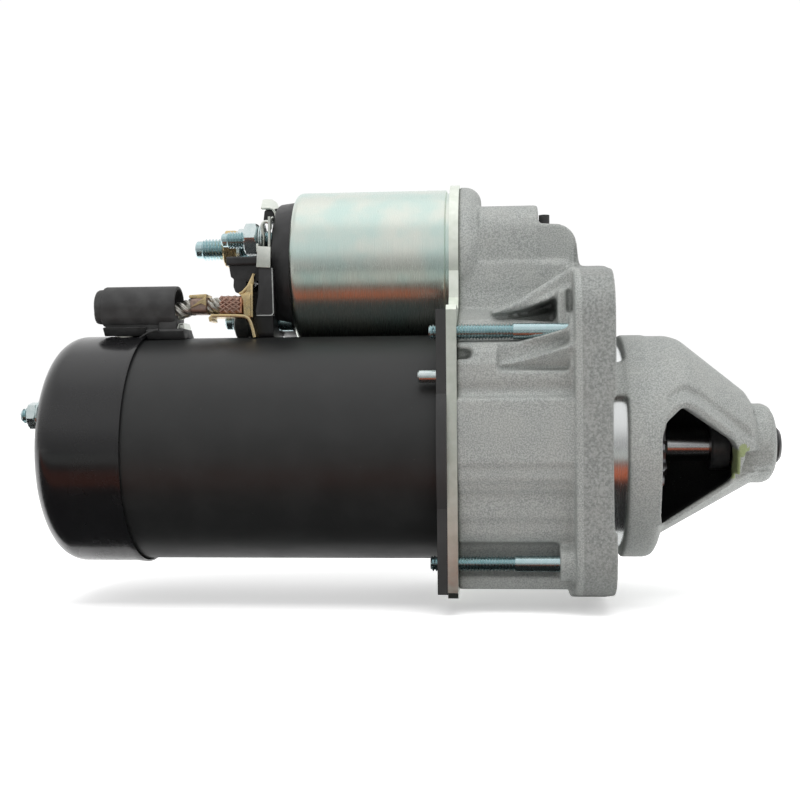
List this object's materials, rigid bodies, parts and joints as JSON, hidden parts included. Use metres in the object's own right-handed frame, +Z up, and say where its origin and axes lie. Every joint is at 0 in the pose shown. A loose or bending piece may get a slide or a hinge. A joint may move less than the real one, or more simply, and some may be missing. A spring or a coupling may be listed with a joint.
{
  "type": "starter motor",
  "caption": "Geared starter motor with solenoid on top, black motor tube, cast nose with a window, shift fork, overrunning clutch and drive pinion.",
  "frame": {"origin": "on the motor axis, in the front face of the mounting flange", "axes": "+X along the motor axis towards the nose, +Z up towards the solenoid, -Y the near side with the open bolts and the window"},
  "size_m": [0.2502, 0.0914, 0.1432],
  "materials": {
    "cast_aluminium": "shot blasted casting",
    "zinc_plate": "zinc plated",
    "black_paint": "semi gloss black",
    "gloss_black": "gloss black",
    "zinc_can": "bright zinc, brushed round",
    "black_plastic": "moulded",
    "rubber": "matt",
    "bronze": "sintered bronze",
    "steel": "machined",
    "zinc_screw": "blue zinc",
    "copper": "copper",
    "brass_lug": "brass",
    "tinned_braid": "braided",
    "ferrite": "ferrite",
    "lamination": "laminated steel",
    "phenolic": "phenolic board",
    "carbon": "carbon",
    "black_steel": "black oxide"
  },
  "bodies": {
    "frame": {"drive_end_housing": "cast_aluminium", "nose_bush": "bronze", "nose_plug": "black_steel", "mid_plate": "zinc_plate", "yoke": "black_paint", "yoke_bracket": "black_paint", "end_cap": "gloss_black", "end_cap_bush": "bronze", "field_magnets": "ferrite", "brush_plate": "phenolic", "rear_studs": "zinc_screw", "rear_nuts": "zinc_screw", "housing_bolts": "zinc_screw", "dowel_pin": "zinc_screw", "ring_gear": "steel", "gear_cover": "steel", "support_plate": "steel", "support_bush": "bronze", "solenoid_can": "zinc_can", "solenoid_coil": "copper", "solenoid_core": "steel", "solenoid_cap": "black_plastic", "terminal_guard": "black_plastic", "battery_stud": "zinc_screw", "battery_nut": "brass_lug", "second_stud": "zinc_screw", "second_nut": "zinc_screw", "motor_stud": "zinc_screw", "motor_nut": "zinc_screw", "spade_tab": "zinc_plate", "square_tab": "zinc_plate", "grommet": "rubber", "grommet_strap": "zinc_plate", "field_lead": "tinned_braid", "lead_crimp": "brass_lug", "lead_lug": "brass_lug", "vent_plug": "rubber", "fork_pin": "steel", "plunger_spring": "zinc_screw", "brush_springs": "steel"},
    "armature": {"armature_shaft": "steel", "armature_core": "lamination", "armature_windings": "copper", "commutator": "copper"},
    "carrier": {"output_shaft": "steel", "planet_pins": "steel", "stop_collar": "black_steel"},
    "planet_a": {"planet_1": "steel"},
    "planet_b": {"planet_2": "steel"},
    "planet_c": {"planet_3": "steel"},
    "clutch": {"clutch_shell": "black_steel"},
    "drive_pinion": {"pinion": "steel"},
    "fork": {"shift_fork": "black_steel"},
    "plunger_core": {"plunger": "steel"},
    "contact": {"contact_disc": "copper"},
    "brush_a": {"brush_1": "carbon"},
    "brush_b": {"brush_2": "carbon"},
    "brush_c": {"brush_3": "carbon"},
    "brush_d": {"brush_4": "carbon"}
  },
  "joints": [
    {"name": "armature_spin", "type": "hinge", "parent": "frame", "child": "armature", "pos_m": [-0.12, 0, 0], "axis": [1, 0, 0], "continuous": true},
    {"name": "carrier_spin", "type": "hinge", "parent": "frame", "child": "carrier", "pos_m": [-0.03, 0, 0], "axis": [1, 0, 0], "continuous": true},
    {"name": "planet_a_spin", "type": "hinge", "parent": "carrier", "child": "planet_a", "pos_m": [-0.07, 0.01688, 0], "axis": [1, 0, 0], "continuous": true},
    {"name": "planet_b_spin", "type": "hinge", "parent": "carrier", "child": "planet_b", "pos_m": [-0.07, -0.00844, 0.01461], "axis": [1, 0, 0], "continuous": true},
    {"name": "planet_c_spin", "type": "hinge", "parent": "carrier", "child": "planet_c", "pos_m": [-0.07, -0.00844, -0.01461], "axis": [1, 0, 0], "continuous": true},
    {"name": "clutch_slide", "type": "slide", "parent": "carrier", "child": "clutch", "axis": [1, 0, 0], "range_m": [0, 0.015], "stiffness_N_per_m": 200, "springref_m": -0.01},
    {"name": "pinion_overrun", "type": "hinge", "parent": "clutch", "child": "drive_pinion", "pos_m": [0.012, 0, 0], "axis": [1, 0, 0], "continuous": true},
    {"name": "fork_swing", "type": "hinge", "parent": "frame", "child": "fork", "pos_m": [-0.022, 0.0115, 0.03622], "axis": [0, -0.9531, 0.3026], "range_deg": [0, 22.77]},
    {"name": "plunger_slide", "type": "slide", "parent": "frame", "child": "plunger_core", "axis": [-1, 0, 0], "range_m": [0, 0.01109], "deforming": ["plunger_spring"]},
    {"name": "contact_slide", "type": "slide", "parent": "frame", "child": "contact", "axis": [-1, 0, 0], "range_m": [0, 0.002]},
    {"name": "brush_a_slide", "type": "slide", "parent": "frame", "child": "brush_a", "axis": [0, 0.7071, 0.7071], "range_m": [0, 0.003], "stiffness_N_per_m": 400, "springref_m": -0.01, "deforming": ["brush_springs"]},
    {"name": "brush_b_slide", "type": "slide", "parent": "frame", "child": "brush_b", "axis": [0, -0.7071, 0.7071], "range_m": [0, 0.003], "stiffness_N_per_m": 400, "springref_m": -0.01, "deforming": ["brush_springs"]},
    {"name": "brush_c_slide", "type": "slide", "parent": "frame", "child": "brush_c", "axis": [0, -0.7071, -0.7071], "range_m": [0, 0.003], "stiffness_N_per_m": 400, "springref_m": -0.01, "deforming": ["brush_springs"]},
    {"name": "brush_d_slide", "type": "slide", "parent": "frame", "child": "brush_d", "axis": [0, 0.7071, -0.7071], "range_m": [0, 0.003], "stiffness_N_per_m": 400, "springref_m": -0.01, "deforming": ["brush_springs"]}
  ],
  "couplings": [
    {"joint": "carrier_spin", "follows": "armature_spin", "ratio": 0.22222},
    {"joint": "planet_a_spin", "follows": "armature_spin", "ratio": -0.62222},
    {"joint": "planet_b_spin", "follows": "armature_spin", "ratio": -0.62222},
    {"joint": "planet_c_spin", "follows": "armature_spin", "ratio": -0.62222},
    {"joint": "fork_swing", "follows": "clutch_slide", "rad_per_m": 26.49},
    {"joint": "plunger_slide", "follows": "clutch_slide", "ratio": 0.73943},
    {"joint": "contact_slide", "follows": "clutch_slide", "ratio": 0.13333}
  ]
}
